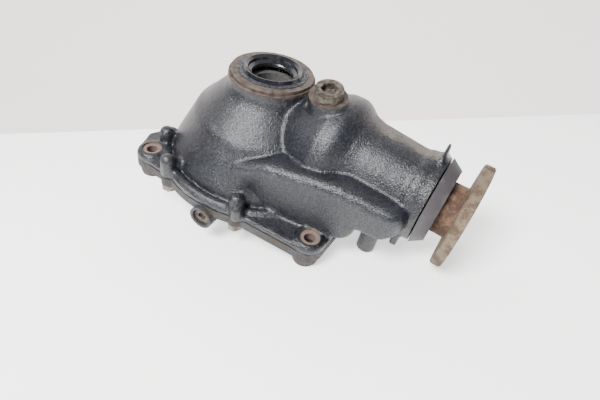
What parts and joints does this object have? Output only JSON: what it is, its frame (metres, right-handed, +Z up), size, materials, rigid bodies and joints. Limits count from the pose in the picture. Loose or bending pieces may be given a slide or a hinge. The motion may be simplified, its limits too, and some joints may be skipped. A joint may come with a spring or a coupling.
{
  "type": "front differential",
  "caption": "Front axle differential: bell housing and dished cover round a spiral bevel pair, with a bevel gear differential, taper bearings and a bolt-on input flange.",
  "frame": {"origin": "on the axle axis, in the plane that the lug feet of the cover stand on", "axes": "+Z up the axle axis to the bell seal, +X along the pinion axis to the input flange"},
  "size_m": [0.3247, 0.2186, 0.1627],
  "materials": {
    "cast_black": "satin black paint over sand cast iron, scuffed and dusty",
    "cast_cover": "dirty satin black paint over cast iron",
    "bolt_steel": "dull zinc plated steel",
    "bearing_steel": "ground bearing steel, oiled",
    "gear_steel": "case hardened steel, lapped, oiled",
    "cage_steel": "pressed steel, phosphated",
    "case_iron": "turned nodular iron",
    "seal_rubber": "moulded nitrile rubber, glossy with oil",
    "seal_steel": "pressed steel, speckled with grime",
    "plug_zinc": "corroded zinc plate",
    "washer_metal": "soft aluminium",
    "shield_steel": "smooth dark grey coated pressing",
    "flange_steel": "forged steel, pitted and rusty",
    "shim_steel": "ground spring steel"
  },
  "bodies": {
    "casing": {"housing": "cast_black", "cover": "cast_cover", "cover_bolts": "bolt_steel", "dowel_pins": "shim_steel", "cover_o_ring": "seal_rubber", "bell_seal_case": "seal_steel", "bell_seal_lip": "seal_rubber", "bell_seal_spring": "bearing_steel", "cover_seal_case": "seal_steel", "cover_seal_lip": "seal_rubber", "cover_seal_spring": "bearing_steel", "pinion_seal_case": "seal_steel", "pinion_seal_lip": "seal_rubber", "pinion_seal_spring": "bearing_steel", "bell_bearing_cup": "bearing_steel", "cover_bearing_cup": "bearing_steel", "head_bearing_cup": "bearing_steel", "tail_bearing_cup": "bearing_steel", "bell_shim": "shim_steel", "cover_shim": "shim_steel", "filler_plug": "plug_zinc", "filler_washer": "washer_metal", "drain_plug": "plug_zinc", "drain_washer": "washer_metal"},
    "carrier": {"differential_case": "case_iron", "crown_wheel": "gear_steel", "crown_wheel_bolts": "bolt_steel", "cross_pin": "bearing_steel", "cross_pin_lock": "bearing_steel", "side_gear_washers": "shim_steel", "planet_washers": "shim_steel", "bell_bearing_cone": "bearing_steel", "cover_bearing_cone": "bearing_steel"},
    "pinion": {"pinion_shaft": "gear_steel", "pinion_shim_ring": "shim_steel", "head_bearing_cone": "bearing_steel", "tail_bearing_cone": "bearing_steel", "crush_sleeve": "cage_steel", "input_flange": "flange_steel", "dust_shield": "shield_steel", "pinion_nut": "bolt_steel"},
    "bell_rollers": {"bell_bearing_rollers": "bearing_steel", "bell_bearing_cage": "cage_steel"},
    "cover_rollers": {"cover_bearing_rollers": "bearing_steel", "cover_bearing_cage": "cage_steel"},
    "head_rollers": {"head_bearing_rollers": "bearing_steel", "head_bearing_cage": "cage_steel"},
    "tail_rollers": {"tail_bearing_rollers": "bearing_steel", "tail_bearing_cage": "cage_steel"},
    "bell_side": {"bell_side_gear": "gear_steel"},
    "cover_side": {"cover_side_gear": "gear_steel"},
    "front_planet": {"front_planet_gear": "gear_steel"},
    "rear_planet": {"rear_planet_gear": "gear_steel"}
  },
  "joints": [
    {"name": "carrier_spin", "type": "hinge", "parent": "casing", "child": "carrier", "pos_m": [0, 0, 0.068], "axis": [0, 0, 1], "continuous": true},
    {"name": "pinion_spin", "type": "hinge", "parent": "casing", "child": "pinion", "pos_m": [0.12, 0, 0.068], "axis": [1, 0, 0], "continuous": true},
    {"name": "bell_rollers_spin", "type": "hinge", "parent": "casing", "child": "bell_rollers", "pos_m": [0, 0, 0.098], "axis": [0, 0, 1], "continuous": true},
    {"name": "cover_rollers_spin", "type": "hinge", "parent": "casing", "child": "cover_rollers", "pos_m": [0, 0, 0.008], "axis": [0, 0, 1], "continuous": true},
    {"name": "head_rollers_spin", "type": "hinge", "parent": "casing", "child": "head_rollers", "pos_m": [0.093, 0, 0.068], "axis": [1, 0, 0], "continuous": true},
    {"name": "tail_rollers_spin", "type": "hinge", "parent": "casing", "child": "tail_rollers", "pos_m": [0.149, 0, 0.068], "axis": [1, 0, 0], "continuous": true},
    {"name": "side_gear_spin", "type": "hinge", "parent": "carrier", "child": "bell_side", "pos_m": [0, 0, 0.076], "axis": [0, 0, 1], "continuous": true},
    {"name": "cover_side_gear_spin", "type": "hinge", "parent": "carrier", "child": "cover_side", "pos_m": [0, 0, 0.036], "axis": [0, 0, 1], "continuous": true},
    {"name": "front_planet_spin", "type": "hinge", "parent": "carrier", "child": "front_planet", "pos_m": [0.025, 0, 0.056], "axis": [1, 0, 0], "continuous": true},
    {"name": "rear_planet_spin", "type": "hinge", "parent": "carrier", "child": "rear_planet", "pos_m": [-0.025, 0, 0.056], "axis": [1, 0, 0], "continuous": true}
  ],
  "couplings": [
    {"joint": "pinion_spin", "follows": "carrier_spin", "ratio": 3.6364},
    {"joint": "bell_rollers_spin", "follows": "carrier_spin", "ratio": 0.44069},
    {"joint": "cover_rollers_spin", "follows": "carrier_spin", "ratio": 0.44069},
    {"joint": "head_rollers_spin", "follows": "carrier_spin", "ratio": 1.4827},
    {"joint": "tail_rollers_spin", "follows": "carrier_spin", "ratio": 1.5032},
    {"joint": "cover_side_gear_spin", "follows": "side_gear_spin", "ratio": -1},
    {"joint": "front_planet_spin", "follows": "side_gear_spin", "ratio": -1.6},
    {"joint": "rear_planet_spin", "follows": "side_gear_spin", "ratio": 1.6}
  ]
}
